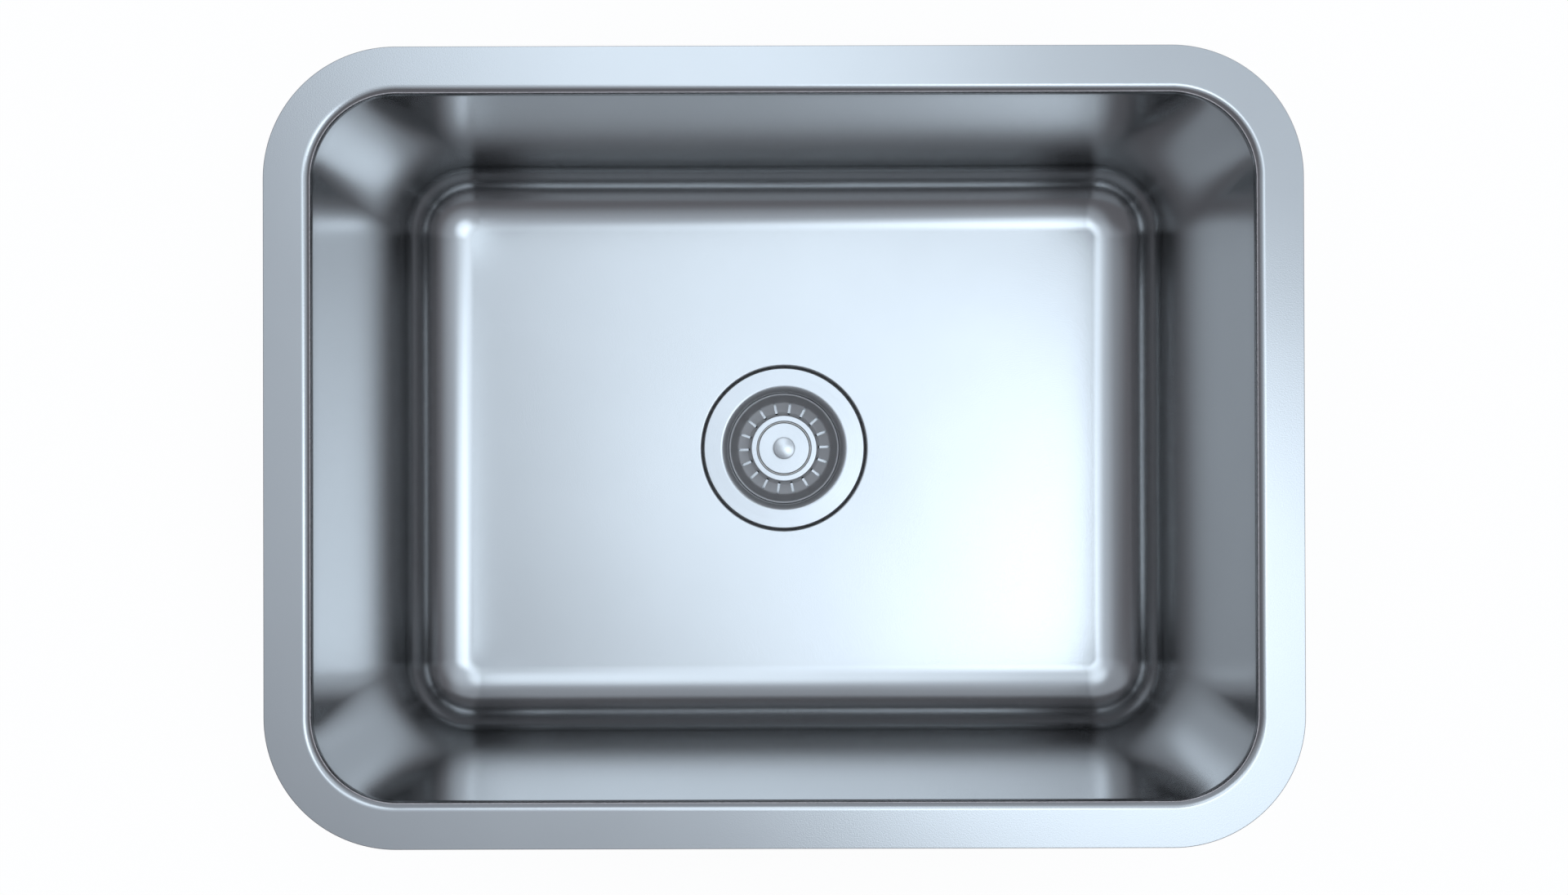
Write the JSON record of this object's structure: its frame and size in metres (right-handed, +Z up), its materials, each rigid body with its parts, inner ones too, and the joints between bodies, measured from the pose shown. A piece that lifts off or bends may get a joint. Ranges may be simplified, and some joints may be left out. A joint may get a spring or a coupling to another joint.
{
  "type": "laundry sink",
  "caption": "Undermount laundry sink: pressed stainless bowl with a flat flange and a centred basket waste, lift-out slotted basket and pull-up plug.",
  "frame": {"origin": "middle of the bowl's mouth, in the plane of the flange's top face that beds against the benchtop", "axes": "+Z up out of the bowl, +X along the bowl's length, +Y along its width to the back"},
  "size_m": [0.555, 0.428, 0.3219],
  "materials": {
    "bowl_steel": "satin pressed stainless steel, matt sheen",
    "waste_steel": "fine satin stainless steel with a brighter sheen",
    "chrome": "bright chrome",
    "brass": "turned brass",
    "black_rubber": "matt moulded rubber",
    "pad_rubber": "dull grey sound-deadening rubber sheet",
    "white_plastic": "moulded white plastic",
    "dark_plastic": "moulded dark grey plastic"
  },
  "bodies": {
    "root": {"bowl_shell": "bowl_steel", "floor_pad": "pad_rubber", "wall_pad_front": "pad_rubber", "wall_pad_right": "pad_rubber", "wall_pad_back": "pad_rubber", "wall_pad_left": "pad_rubber", "strainer_flange": "waste_steel", "flange_gasket": "black_rubber", "body_gasket": "black_rubber", "waste_body": "white_plastic", "thread_insert": "brass", "clamp_screw": "chrome"},
    "basket": {"basket_cup": "waste_steel", "basket_bush": "white_plastic", "grip_ring": "black_rubber"},
    "plug": {"plug_knob": "chrome", "plug_cap": "waste_steel", "plug_piston": "dark_plastic", "plug_stopper": "black_rubber", "stopper_plate": "waste_steel", "plug_screw": "chrome"}
  },
  "joints": [
    {"name": "basket_lift", "type": "slide", "parent": "root", "child": "basket", "axis": [0, 0, 1], "range_m": [0, 0.3]},
    {"name": "plug_lift", "type": "slide", "parent": "basket", "child": "plug", "axis": [0, 0, 1], "range_m": [0, 0.006]}
  ]
}
